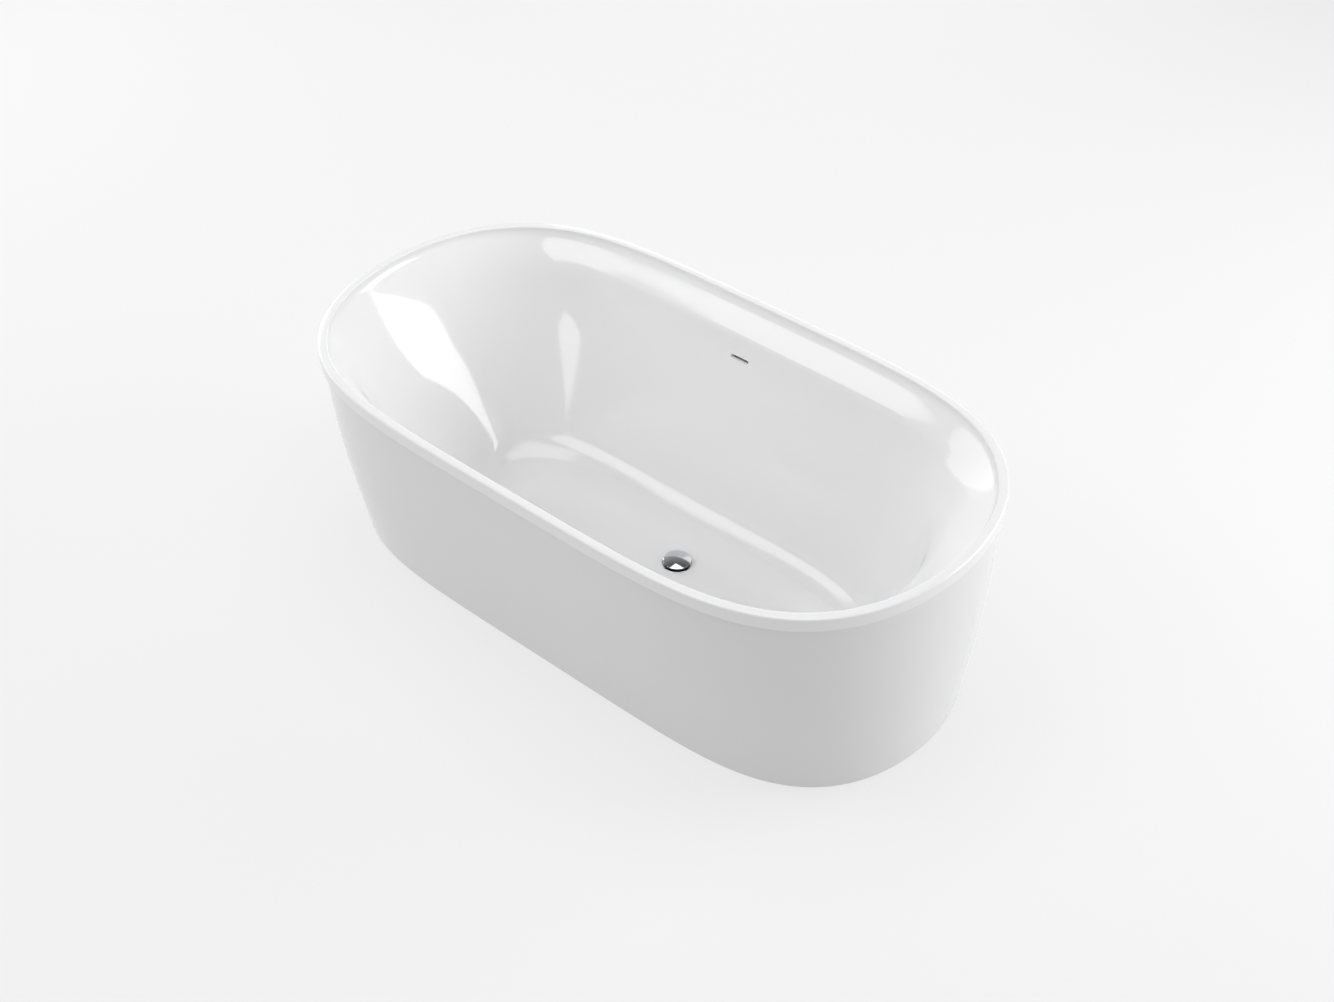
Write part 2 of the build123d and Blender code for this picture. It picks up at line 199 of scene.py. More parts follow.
def acrylic_finish(name, low, high, gloss):
    """White acrylic between two tints, with its range of roughness."""
    return finish(name, tint(low, high, cloudy), spread(*gloss, wiped), (ripple, 0.0006), IOR=1.49)


acrylic = acrylic_finish("acrylic", (0.70, 0.70, 0.706), (0.73, 0.73, 0.736), (0.05, 0.11))
# The skirt's colour is a shade greyer than the basin's. This is painted shade: the same acrylic, darkened
# because the skirt takes less light than the basin. It is also less polished.
skirt_acrylic = acrylic_finish("skirt_acrylic", (0.63, 0.63, 0.636), (0.66, 0.66, 0.666), (0.12, 0.2))
print("acrylic made")

# %% [markdown]
# ## Ovals that change on the way down
#
# Rim, basin and skirt are all the same idea: a closed oval, |x/a|^n + (y/b)^2 = 1, whose
# half sizes, exponent, centre and height change along a profile. Turned parts such as the
# drain cap are the special case a = b, n = 2. One Geometry Nodes tree makes them all: a
# grid is wrapped round the axis, and each of its rows reads its oval from a small helper
# mesh, one vertex to a station. A station holds one oval for the long sides and one for
# the ends, so that a fold can be crisp along the sides and fade out round the ends.

# %% The oval tree
STATION_DATA = ("side_size", "side_seat", "end_size", "end_seat")
END_FADE = (0.55, 0.97)


def oval_tree():
    """Node group that lofts ovals through the stations of a profile object."""
    tree = bpy.data.node_groups.new("oval loft", "GeometryNodeTree")
    inputs = (("Profile", "NodeSocketObject"), ("Around", "NodeSocketInt"), ("Rows", "NodeSocketInt"),
              ("Finish", "NodeSocketMaterial"))
    for name, kind in inputs:
        tree.interface.new_socket(name, in_out="INPUT", socket_type=kind)
    tree.interface.new_socket("Mesh", in_out="OUTPUT", socket_type="NodeSocketGeometry")
    graph = Graph(tree)
    given = [graph.add("NodeGroupInput", out=index) for index in range(len(inputs))]
    profile = graph.add("GeometryNodeObjectInfo", None, {"Object": given[0]}, out=4)
    sheet = {"Size X": 1.0, "Size Y": 1.0, "Vertices X": given[1] + 1, "Vertices Y": given[2]}
    grid = graph.add("GeometryNodeMeshGrid", None, sheet)
    position = graph.add("GeometryNodeInputPosition")
    split = {"Vector": position}
    around = graph.add("ShaderNodeSeparateXYZ", None, split, out=0) + 0.5
    down = graph.add("ShaderNodeSeparateXYZ", None, split, out=1) + 0.5
    row = down * (given[2] - 1)
    row = row.maths("ROUND", row)

    def station(name):
        field = graph.add("GeometryNodeInputNamedAttribute", {"data_type": "FLOAT_VECTOR"}, {"Name": name})
        sample = graph.add("GeometryNodeSampleIndex", {"data_type": "FLOAT_VECTOR"},
                           {"Geometry": profile, "Value": field, "Index": row})
        return [graph.add("ShaderNodeSeparateXYZ", None, {"Vector": sample}, out=axis) for axis in range(3)]

    def oval(size, seat):
        (half_x, half_y, power), (centre_x, centre_y, height) = station(size), station(seat)
        fold = graph.add("ShaderNodeMath", {"operation": "PINGPONG"}, {0: around * 4, 1: 1.0})
        turn = (1 - (1 - fold) ** (power / 2)) * (math.pi / 2)
        cosine = turn.maths("COSINE", turn)
        along = cosine.maths("MAXIMUM", cosine, 0.0) ** (2 / power)
        circle = around * (2 * math.pi)
        x_side = circle.maths("SIGN", circle.maths("COSINE", circle))
        y_side = circle.maths("SIGN", circle.maths("SINE", circle))
        x = centre_x + half_x * along * x_side
        y = centre_y + half_y * turn.maths("SINE", turn) * y_side
        point = graph.add("ShaderNodeCombineXYZ", None, {"X": x, "Y": y, "Z": height})
        return point, along

    side, along = oval("side_size", "side_seat")
    end, _ = oval("end_size", "end_seat")
    ease = {"Value": along, "From Min": END_FADE[0], "From Max": END_FADE[1]}
    weight = graph.add("ShaderNodeMapRange", {"interpolation_type": "SMOOTHSTEP"}, ease)
    place = graph.add("ShaderNodeMix", {"data_type": "VECTOR"}, {0: weight, 4: side, 5: end}, out=1)
    moved = graph.add("GeometryNodeSetPosition", None, {"Geometry": grid, "Position": place})
    merged = graph.add("GeometryNodeMergeByDistance", None, {"Geometry": moved, "Distance": 1e-5})
    real = graph.add("GeometryNodeRealizeInstances", None, {"Geometry": merged})
    coated = graph.add("GeometryNodeSetMaterial", None, {"Geometry": real, "Material": given[3]})
    graph.add("NodeGroupOutput", None, {"Mesh": coated})
    return tree


OVAL_TREE = oval_tree()
print("oval tree:", len(OVAL_TREE.nodes), "nodes")

# %% Helpers that run a tree and keep its mesh
def set_inputs(modifier, values):
    """Sets a Geometry Nodes modifier's inputs by the identifiers of its sockets."""
    for item in modifier.node_group.interface.items_tree:
        if item.item_type == "SOCKET" and item.in_out == "INPUT" and item.name in values:
            modifier[item.identifier] = values[item.name]


def bake(name, holder):
    """Plain mesh object of the evaluated holder, which is then removed."""
    depsgraph = bpy.context.evaluated_depsgraph_get()
    mesh = bpy.data.meshes.new_from_object(holder.evaluated_get(depsgraph))
    bpy.data.objects.remove(holder)
    piece = bpy.data.objects.new(name, mesh)
    bpy.context.scene.collection.objects.link(piece)
    return piece


def outward(piece, smooth_angle=35):
    """Turns all faces outwards and smooths all but the sharp edges."""
    mesh = bmesh.new()
    mesh.from_mesh(piece.data)
    bmesh.ops.recalc_face_normals(mesh, faces=mesh.faces)
    limit = math.radians(smooth_angle)
    for edge in mesh.edges:
        edge.smooth = len(edge.link_faces) == 2 and edge.calc_face_angle(0.0) < limit
    for face in mesh.faces:
        face.smooth = True
    mesh.to_mesh(piece.data)
    mesh.free()
    return piece


def loft(name, stations, material, around=256, ends=None, smooth_angle=35):
    """Shell through stations (half_x, half_y, power, centre_x, centre_y, z) in metres."""
    mesh = bpy.data.meshes.new(name + "_profile")
    mesh.from_pydata([(0, 0, 0)] * len(stations), [], [])
    for key, run in zip(STATION_DATA, (stations, stations, ends or stations, ends or stations)):
        layer = mesh.attributes.new(key, "FLOAT_VECTOR", "POINT")
        first = 0 if key.endswith("size") else 3
        for item, station in zip(layer.data, run):
            item.vector = station[first:first + 3]
    profile = bpy.data.objects.new(name + "_profile", mesh)
    bpy.context.scene.collection.objects.link(profile)
    holder = bpy.data.objects.new(name, bpy.data.meshes.new(name))
    bpy.context.scene.collection.objects.link(holder)
    modifier = holder.modifiers.new("loft", "NODES")
    modifier.node_group = OVAL_TREE
    set_inputs(modifier, {"Profile": profile, "Around": around, "Rows": len(stations), "Finish": material})
    piece = outward(bake(name, holder), smooth_angle)
    bpy.data.objects.remove(profile)
    return piece


print("tree helpers ready")

# %% [markdown]
# ## Profiles
#
# A profile is written as its corner stations. Real folds are round, so each corner is
# replaced by a short curve with its own reach, and straight runs are divided evenly so
# that the mesh has no long thin faces.

# %% Profile helpers
def blend(one, other, part):
    """Station part of the way from one station to the other."""
    return tuple(a + (b - a) * part for a, b in zip(one, other))


def span(one, other):
    """Distance between two stations in the cross section."""
    return math.hypot(one[1] - other[1], one[5] - other[5])


def soften(corners, reaches, steps=8):
    """Rounds the inner corners of a run of stations, each by its own reach."""
    run = [corners[0]]
    for before, corner, after, reach in zip(corners, corners[1:], corners[2:], reaches):
        if reach == 0:
            run.append(corner)
            continue
        entry = blend(corner, before, reach / span(corner, before))
        leave = blend(corner, after, reach / span(corner, after))
        for step in range(steps + 1):
            part = step / steps
            run.append(blend(blend(entry, corner, part), blend(corner, leave, part), part))
    return run + [corners[-1]]


def divide(longest, *runs):
    """Splits the long gaps of the first run into equal parts, and the other runs' gaps with them."""
    counts = [math.ceil(max(abs(one[axis] - other[axis]) for axis in (0, 1, 5)) / longest)
              for one, other in zip(runs[0], runs[0][1:])]
    divided = []
    for run in runs:
        out = [run[0]]
        for one, other, parts in zip(run, run[1:], counts):
            out += [blend(one, other, step / parts) for step in range(1, parts + 1)]
        divided.append(out)
    return divided


def grown(station, out, down):
    """Station moved outwards and down."""
    half_x, half_y, power, centre_x, centre_y, z = station
    return (half_x + out, half_y + out, power, centre_x, centre_y, z - down)


def keep(piece, nodes_replaced, body):
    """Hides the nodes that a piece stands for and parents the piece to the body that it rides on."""
    for node in nodes_replaced:
        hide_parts(node)
    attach(piece, body)
    print(piece.name, len(piece.data.polygons), "faces")
    return piece


print("profile helpers ready")

# %% [markdown]
# ## Basin and rim
#
# One vacuum-formed sheet: a narrow rolled rim, a shoulder that falls away inside it, a
# steep haunch, a long sloping wall, a cove and a nearly flat floor with a hole for the
# waste. The backrest end slopes more than the other, so the oval's centre moves as it
# goes down. The cross section is a closed loop, which gives the sheet its thickness.

# %% Basin and rim sizes
RIM_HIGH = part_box("tub_shell")[1]
WASTE_LOW, WASTE_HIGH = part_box("drain_flange")
WASTE_X = (WASTE_LOW.x + WASTE_HIGH.x) / 2
FLANGE_SHEET = 2.5 * MM
FLOOR_Z = WASTE_HIGH.z - FLANGE_SHEET
SHEET = 6 * MM
RIM_POWER = 4.63
RIM_FACE = 31 * MM
LIP_IN = 20 * MM
LIP_DROP = 12 * MM
SHOULDER = (760.5 * MM, 377.5 * MM, 5.2, -3 * MM, 0, 468 * MM)
HAUNCH = (693 * MM, 350 * MM, 5.4, -7 * MM, 0, 385 * MM)
COVE = (570 * MM, 178 * MM, 4.0, 75 * MM, 0, 120 * MM)
FLOOR = (548 * MM, 140 * MM, 3.3, 88 * MM, 0, FLOOR_Z)
HOLE_R = 26 * MM


def rim(inset, z):
    """Station of the rim's oval, moved inwards."""
    return (RIM_HIGH.x - inset, RIM_HIGH.y - inset, RIM_POWER, 0, 0, z)


def basin_profile(shoulder_reach, haunch_reach):
    """Closed cross section of the sheet, from the waste hole round to it again."""
    top = RIM_HIGH.z
    hole = (HOLE_R, HOLE_R, 2.0, WASTE_X, 0, FLOOR_Z)
    corners_and_reaches = (
        (FLOOR, 8 * MM),
        (COVE, 24 * MM),
        (HAUNCH, haunch_reach),
        (SHOULDER, shoulder_reach),
        (rim(LIP_IN + 1 * MM, top - LIP_DROP - 4 * MM), 12 * MM),
        (rim(LIP_IN, top), 3 * MM),
        (rim(0, top), 5 * MM),
        (rim(0, top - RIM_FACE), 1.5 * MM),
        (rim(SHEET, top - RIM_FACE), 1.5 * MM),
        (rim(SHEET, top - SHEET), 2 * MM),
        (rim(LIP_IN - 7 * MM, top - SHEET), 2 * MM),
        (rim(LIP_IN - 3 * MM, top - LIP_DROP - 4 * MM), 3 * MM),
        (grown(SHOULDER, 7 * MM, 4 * MM), shoulder_reach),
        (grown(HAUNCH, 7 * MM, 4 * MM), haunch_reach),
        (grown(COVE, 8 * MM, SHEET), 24 * MM),
        (grown(FLOOR, 4 * MM, SHEET), 6 * MM),
        (grown(hole, 0, SHEET), 0),
    )
    corners, reaches = zip(*corners_and_reaches)
    return soften((hole, *corners, hole), reaches)


SIDE_REACHES = (7 * MM, 70 * MM)
END_REACHES = (40 * MM, 40 * MM)
TUB_GAP = 18 * MM
OVAL_POINTS = 288
side_run, end_run = divide(TUB_GAP, basin_profile(*SIDE_REACHES), basin_profile(*END_REACHES))
tub = loft("tub", side_run, acrylic, around=OVAL_POINTS, ends=end_run)
print("tub profile:", len(side_run), "stations")

# %% [markdown]
# The overflow slot is cut through the wall with an exact boolean. Its place and lean
# come from the CAD trim and from the slope between shoulder and haunch.

# %% Overflow slot
TRIM_LOW, TRIM_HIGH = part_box("overflow_trim")
SLOT_LEAN = math.atan2(SHOULDER[1] - HAUNCH[1], SHOULDER[5] - HAUNCH[5])
SLOT_SIZE = (52 * MM, 9 * MM)
SLOT_PLACE = (Matrix.Translation((TRIM_LOW + TRIM_HIGH) / 2)
              @ Matrix.Rotation(-math.pi / 2 - SLOT_LEAN, 4, "X"))


def slot_ring(grow, steps=16):
    """Outline of the slot, grown outwards, in its own plane."""
    length, height = SLOT_SIZE
    radius = height / 2 + grow
    ring = []
    for side in (1, -1):
        for step in range(steps + 1):
            turn = math.pi * (step / steps - 0.5)
            x = side * ((length - height) / 2 + radius * math.cos(turn))
            ring.append((x, side * radius * math.sin(turn)))
    return ring


def ringed(name, rows, material, close=True):
    """Mesh through rings of points; close joins the last to the first, else both ends are filled."""
    mesh = bmesh.new()
    rings = [[mesh.verts.new(point) for point in row] for row in rows]
    pairs = list(zip(rings, rings[1:])) + ([(rings[-1], rings[0])] if close else [])
    for one, other in pairs:
        for index in range(len(one)):
            following = (index + 1) % len(one)
            mesh.faces.new((one[index], one[following], other[following], other[index]))
    if not close:
        mesh.faces.new(rings[0])
        mesh.faces.new(rings[-1])
    data = bpy.data.meshes.new(name)
    mesh.to_mesh(data)
    mesh.free()
    data.materials.append(material)
    piece = bpy.data.objects.new(name, data)
    bpy.context.scene.collection.objects.link(piece)
    return outward(piece)


def slot_rows(profile):
    """Rings round the slot for a profile of (grow, depth) points; depth points out of the basin."""
    return [[SLOT_PLACE @ Vector((x, y, depth)) for x, y in slot_ring(grow)]
            for grow, depth in profile]


def apply_modifiers(piece):
    """Keeps the evaluated mesh and drops the modifiers."""
    depsgraph = bpy.context.evaluated_depsgraph_get()
    mesh = bpy.data.meshes.new_from_object(piece.evaluated_get(depsgraph))
    piece.modifiers.clear()
    piece.data = mesh


CUT_DEPTH = 20 * MM
cutter = ringed("slot_cutter", slot_rows([(0, -CUT_DEPTH), (0, CUT_DEPTH)]), acrylic, close=False)
cut = tub.modifiers.new("slot", "BOOLEAN")
cut.operation = "DIFFERENCE"
cut.solver = "EXACT"
cut.object = cutter
apply_modifiers(tub)
bpy.data.objects.remove(cutter)
outward(tub)
keep(tub, ["tub_shell"], "tub")

# %% [markdown]
# ## Outer skirt
#
# The skirt hangs from behind the rim face. It is nearly upright at first and draws in
# below its waist, with rounded edges at top and foot.

# %% Skirt
SKIRT_TUCK = 6.5 * MM
SKIRT_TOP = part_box("skirt")[1].z
SKIRT_WAIST = (820 * MM, 402 * MM, 5.5, 4 * MM, 0, 258 * MM)
SKIRT_FOOT = (792 * MM, 361 * MM, 5.4, 7 * MM, 0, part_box("skirt")[0].z)


def skirt_profile(waist_reach, edge):
    """Closed cross section of the skirt, from just above its foot round to it again."""
    start = blend(SKIRT_FOOT, SKIRT_WAIST, 0.15)
    corners = (start, SKIRT_WAIST, rim(SKIRT_TUCK, SKIRT_TOP), rim(SKIRT_TUCK + SHEET, SKIRT_TOP),
               grown(SKIRT_WAIST, -SHEET, 0), grown(SKIRT_FOOT, -SHEET, 0), SKIRT_FOOT, start)
    return soften(corners, (waist_reach, edge, edge, waist_reach, edge, edge))


WAIST_REACH = 120 * MM
SKIRT_EDGE = 2 * MM
SKIRT_GAP = 16 * MM
(skirt_run,) = divide(SKIRT_GAP, skirt_profile(WAIST_REACH, SKIRT_EDGE))
# The skirt's finish is the acrylic whose greyer colour is painted shade.
skirt = loft("skirt_wall", skirt_run, skirt_acrylic, around=OVAL_POINTS)
keep(skirt, ["skirt"], "tub")

# %% [markdown]
# ## Waste
#
# The flange and the cap are turned parts. A turned part is an oval loft whose ovals are
# circles, so the same tree makes them: the profile is a list of radius and height, with
# small rounds at the corners as a polished casting has.

# %% Turned parts
def turned(name, points, reaches, material, x, y=0.0, around=96, longest=1.5 * MM):
    """Turned part through (radius, height) points, its corners rounded by their reaches."""
    corners = [(radius, radius, 2.0, x, y, z) for radius, z in points]
    (run,) = divide(longest, soften(corners, reaches, 5))
    return loft(name, run, material, around)


print("turning helper ready")

# %% [markdown]
# Bare metal is a tint, a roughness and lines too fine to see one by one; plating is
# smooth, brass is warm and hot-dip zinc shows its crystals as a mosaic of cells. Rubber is
# a dark, rough plastic. Each is one call of a helper, so that a finish is a line of facts.

# %% Chrome, rubber, brass, zinc and steel
def fine_lines(graph, place):
    return noise(graph, place, 700.0, 2.0, (1.0, 1.0, 4.0))


def smudge(graph, place):
    return noise(graph, place, 45.0, 4.0, seed=3.0)


def grainy(graph, place):
    return noise(graph, place, 900.0, 3.0, seed=5.0)


def spangle(graph, place):
    cells = graph.add("ShaderNodeTexVoronoi", None, {"Vector": place, "Scale": 90.0}, out=1)
    return graph.add("ShaderNodeSeparateColor", None, {"Color": cells})


def metal(name, low, high, rough, relief=(fine_lines, 0.00002)):
    """Bare metal between two tints."""
    return finish(name, tint(low, high, smudge), spread(*rough, smudge), relief, metallic=1.0)


chrome = metal("chrome", (0.70, 0.71, 0.73), (0.78, 0.79, 0.81), (0.04, 0.11))
zinc = metal("zinc", (0.56, 0.57, 0.58), (0.70, 0.71, 0.70), (0.25, 0.4))
brass = metal("brass", (0.60, 0.43, 0.17), (0.72, 0.54, 0.25), (0.22, 0.38))
galvanised = finish("galvanised", tint((0.42, 0.44, 0.46), (0.62, 0.64, 0.66), spangle),
                    spread(0.3, 0.5, spangle), (grainy, 0.00003), metallic=1.0)
seal_rubber = finish("seal_rubber", tint((0.018, 0.018, 0.019), (0.035, 0.035, 0.036), smudge),
                     spread(0.55, 0.7, smudge), (grainy, 0.00005))
pad_rubber = finish("pad_rubber", tint((0.025, 0.025, 0.026), (0.05, 0.05, 0.05), smudge),
                    spread(0.6, 0.8, smudge), (grainy, 0.0001))
print("metals and rubbers made")

# %% [markdown]
# The flange lies on the floor of the tub and its tube goes down through the hole. The cap
# has a low dome, whose points are worked out from a parabola, and slides on its stem.

# %% Drain flange and cap
FLANGE_R = (WASTE_HIGH.x - WASTE_LOW.x) / 2
FLANGE_TOP = WASTE_HIGH.z
SEAT_R = 27 * MM
SEAT_DROP = 2 * MM
TUBE_R = 25.5 * MM
TUBE_BORE = 20 * MM
flange_points = (
    (TUBE_BORE, FLOOR_Z - 10 * MM),
    (TUBE_BORE, WASTE_LOW.z),
    (TUBE_R, WASTE_LOW.z),
    (TUBE_R, FLOOR_Z + 0.1 * MM),
    (FLANGE_R, FLOOR_Z + 0.1 * MM),
    (FLANGE_R - 0.6 * MM, FLANGE_TOP),
    (SEAT_R + 0.8 * MM, FLANGE_TOP),
    (SEAT_R, FLANGE_TOP - SEAT_DROP),
    (TUBE_BORE, FLANGE_TOP - SEAT_DROP),
    (TUBE_BORE, FLOOR_Z - 10 * MM),
)
flange_reaches = [edge * MM for edge in (0.5, 0.5, 0.4, 0.4, 1.2, 0.5, 0.6, 0.8)]
flange = turned("drain_flange_turned", flange_points, flange_reaches, chrome, WASTE_X)
keep(flange, ["drain_flange"], "tub")

CAP_LOW, CAP_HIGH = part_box("drain_cap")
CAP_R = (CAP_HIGH.x - CAP_LOW.x) / 2
STEM_R = 3 * MM
BOSS_R = 8 * MM
CAP_THICK = 6.2 * MM
CAP_UNDER = CAP_HIGH.z - CAP_THICK
BOSS_DROP = 1.8 * MM
CAP_RISE = 4.6 * MM


def cap_dome(steps=14):
    """Points of the domed top, from its rim to the middle."""
    radii = [CAP_R * (1 - step / steps) for step in range(steps + 1)]
    return [(radius, CAP_HIGH.z - CAP_RISE * (radius / CAP_R) ** 2) for radius in radii]


dome = cap_dome()
cap_points = [(0, CAP_LOW.z), (STEM_R, CAP_LOW.z), (STEM_R, CAP_UNDER - BOSS_DROP),
              (BOSS_R, CAP_UNDER - BOSS_DROP), (BOSS_R, CAP_UNDER), (CAP_R - 1 * MM, CAP_UNDER), *dome]
cap_reaches = [edge * MM for edge in (0.8, 0.5, 0.5, 0.5, 0.5, 0.5)]
cap = turned("drain_cap_turned", cap_points, cap_reaches + [0] * (len(dome) - 1), chrome, WASTE_X)
keep(cap, ["drain_cap"], "cap")

# %% [markdown]
# The return spring is a spiral curve with a round wire swept along it, made by a small node tree. The real
# spring is shorter when the cap is pressed; here it rides on the tub with a mesh of its own, and nothing
# squashes it.

# %% Spring
def spring_tree():
    """Node group of a coil spring: a spiral with a round wire swept along it."""
    tree = bpy.data.node_groups.new("coil spring", "GeometryNodeTree")
    inputs = (("Radius", "NodeSocketFloat"), ("Wire", "NodeSocketFloat"), ("Height", "NodeSocketFloat"),
              ("Turns", "NodeSocketFloat"), ("Finish", "NodeSocketMaterial"))
    for name, kind in inputs:
        tree.interface.new_socket(name, in_out="INPUT", socket_type=kind)
    tree.interface.new_socket("Mesh", in_out="OUTPUT", socket_type="NodeSocketGeometry")
    graph = Graph(tree)
    given = [graph.add("NodeGroupInput", out=index) for index in range(len(inputs))]
    spiral = {"Resolution": 48, "Rotations": given[3], "Start Radius": given[0], "End Radius": given[0],
              "Height": given[2]}
    coil = graph.add("GeometryNodeCurveSpiral", None, spiral)
    wire = graph.add("GeometryNodeCurvePrimitiveCircle", None, {"Resolution": 12, "Radius": given[1]})
    sweep = {"Curve": coil, "Profile Curve": wire, "Fill Caps": True}
    swept = graph.add("GeometryNodeCurveToMesh", None, sweep)
    real = graph.add("GeometryNodeRealizeInstances", None, {"Geometry": swept})
    coated = graph.add("GeometryNodeSetMaterial", None, {"Geometry": real, "Material": given[4]})
    graph.add("NodeGroupOutput", None, {"Mesh": coated})
    return tree


def run_tree(name, tree, values):
    """Plain mesh object made by a tree with these inputs."""
    holder = bpy.data.objects.new(name, bpy.data.meshes.new(name))
    bpy.context.scene.collection.objects.link(holder)
    modifier = holder.modifiers.new("tree", "NODES")
    modifier.node_group = tree
    set_inputs(modifier, values)
    return bake(name, holder)


def move(piece, matrix):
    """Puts a placement into the mesh, so that the object stays at the origin."""
    piece.data.transform(matrix)
    return piece


SPRING_LOW, SPRING_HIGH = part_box("cap_spring")
WIRE_R = 0.6 * MM
SPRING_R = 5.3 * MM
COIL_PITCH = 3 * MM
COIL_HEIGHT = SPRING_HIGH.z - SPRING_LOW.z - 2 * WIRE_R
spring_sizes = {"Radius": SPRING_R, "Wire": WIRE_R, "Height": COIL_HEIGHT,
                "Turns": COIL_HEIGHT / COIL_PITCH, "Finish": zinc}
spring = run_tree("cap_spring_wire", spring_tree(), spring_sizes)
move(outward(spring), Matrix.Translation((WASTE_X, 0, SPRING_LOW.z + WIRE_R)))
keep(spring, ["cap_spring"], "tub")
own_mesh(spring)

# %% [markdown]
# ## Overflow trim
#
# A thin lining with a rounded lip. Its cross section goes round the slot's outline, and
# each ring of points is placed on the leaning wall by one matrix.

# %% Overflow trim
TRIM_WALL = 1.2 * MM
TRIM_LIP = 1.5 * MM
TRIM_PROUD = 0.8 * MM
TRIM_DEPTH = 7.6 * MM
CLEAR = 0.15 * MM
abs_plastic = finish("abs", tint((0.70, 0.70, 0.69), (0.76, 0.76, 0.75), smudge),
                     spread(0.25, 0.4, smudge), (grainy, 0.00003))


def trim_profile(steps=6):
    """Points (grow, depth) of the trim: up the lining, round the lip and back inside."""
    lip = []
    for step in range(steps + 1):
        turn = math.pi * step / steps
        middle = (TRIM_LIP - CLEAR - TRIM_WALL) / 2
        half = (TRIM_LIP + TRIM_WALL) / 2
        lip.append((middle + half * math.cos(turn), -CLEAR - (TRIM_PROUD - CLEAR) * math.sin(turn)))
    return [(-CLEAR, TRIM_DEPTH), (-CLEAR, -CLEAR), *lip, (-TRIM_WALL, TRIM_DEPTH)]


trim = ringed("overflow_trim_ring", slot_rows(trim_profile()), abs_plastic)
keep(trim, ["overflow_trim"], "tub")
print("trim box", [round(v, 4) for v in trim.dimensions],
      "CAD", [round(v, 4) for v in TRIM_HIGH - TRIM_LOW])

# %% [markdown]
# ## Threads, nuts and screws
#
# A thread is a cylinder whose radius rises and falls once every pitch, with the wave
# turned once round the axis: radius = core + depth * wave(z / pitch - angle / 2 pi).
# As fields on a wrapped grid this is a real helical ridge that moves with its stud.

# %% Thread tree
def thread_tree():
    """Node group of an upright threaded rod whose thread fades out at both closed ends."""
    tree = bpy.data.node_groups.new("threaded rod", "GeometryNodeTree")
    inputs = (("Radius", "NodeSocketFloat"), ("Depth", "NodeSocketFloat"), ("Pitch", "NodeSocketFloat"),
              ("Height", "NodeSocketFloat"), ("Around", "NodeSocketInt"), ("Rows", "NodeSocketInt"),
              ("Finish", "NodeSocketMaterial"))
    for name, kind in inputs:
        tree.interface.new_socket(name, in_out="INPUT", socket_type=kind)
    tree.interface.new_socket("Mesh", in_out="OUTPUT", socket_type="NodeSocketGeometry")
    graph = Graph(tree)
    given = [graph.add("NodeGroupInput", out=index) for index in range(len(inputs))]
    radius, depth, pitch, height, around, rows, coat = given
    sheet = {"Size X": 1.0, "Size Y": 1.0, "Vertices X": around + 1, "Vertices Y": rows}
    grid = graph.add("GeometryNodeMeshGrid", None, sheet)
    split = {"Vector": graph.add("GeometryNodeInputPosition")}
    turn = graph.add("ShaderNodeSeparateXYZ", None, split, out=0) + 0.5
    up = graph.add("ShaderNodeSeparateXYZ", None, split, out=1) + 0.5
    wave = graph.add("ShaderNodeMath", {"operation": "PINGPONG"}, {0: up * height / pitch - turn, 1: 0.5})
    distance = up.maths("MINIMUM", up, 1 - up) * height
    fade = distance.maths("MINIMUM", distance / pitch, 1.0)
    closed = distance.maths("GREATER_THAN", distance, height * 0.0001)
    reach = (radius - depth * (2 - wave * 2) * fade - depth * (1 - fade)) * closed
    circle = turn * (2 * math.pi)
    place = {"X": reach * circle.maths("COSINE", circle), "Y": reach * circle.maths("SINE", circle),
             "Z": up * height}
    point = graph.add("ShaderNodeCombineXYZ", None, place)
    moved = graph.add("GeometryNodeSetPosition", None, {"Geometry": grid, "Position": point})
    merged = graph.add("GeometryNodeMergeByDistance", None, {"Geometry": moved, "Distance": 1e-6})
    real = graph.add("GeometryNodeRealizeInstances", None, {"Geometry": merged})
    coated = graph.add("GeometryNodeSetMaterial", None, {"Geometry": real, "Material": coat})
    graph.add("NodeGroupOutput", None, {"Mesh": coated})
    return tree


THREAD_TREE = thread_tree()


def threaded(name, radius, depth, pitch, low, high, material, x, y, around=24, rows_per_turn=6):
    """Threaded rod between two heights."""
    rows = int((high - low) / pitch * rows_per_turn) + 2
    sizes = {"Radius": radius, "Depth": depth, "Pitch": pitch, "Height": high - low, "Around": around,
             "Rows": rows, "Finish": material}
    rod = run_tree(name, THREAD_TREE, sizes)
    return move(outward(rod, 60), Matrix.Translation((x, y, low)))


print("thread tree:", len(THREAD_TREE.nodes), "nodes")

# %% [markdown]
# Nuts, collars and screw heads are one shape: a six-sided ring whose corners are turned
# off. Copies of a shape are set out by a tree that puts one on every vertex of a small
# helper mesh, and pieces made of several shapes are joined into one mesh.

# %% Hexagons and copies
def hex_section(name, corner, bore, height, material, edge=0.12, steps=12):
    """Nut blank on its axis: a hexagon whose corners are turned off at both faces."""
    apothem = corner * math.cos(math.pi / 6)

    def ring(limit, z):
        points = []
        for step in range(6 * steps):
            angle = 2 * math.pi * step / (6 * steps)
            flat = apothem / math.cos((angle + math.pi / 6) % (math.pi / 3) - math.pi / 6)
            radius = min(flat, limit)
            points.append((radius * math.cos(angle), radius * math.sin(angle), z))
        return points

    drop = height * edge
    rows = [ring(bore, drop / 2), ring(bore + drop / 2, 0), ring(apothem * 0.97, 0), ring(corner, drop),
            ring(corner, height - drop), ring(apothem * 0.97, height), ring(bore + drop / 2, height),
            ring(bore, height - drop / 2)]
    return ringed(name, rows, material)


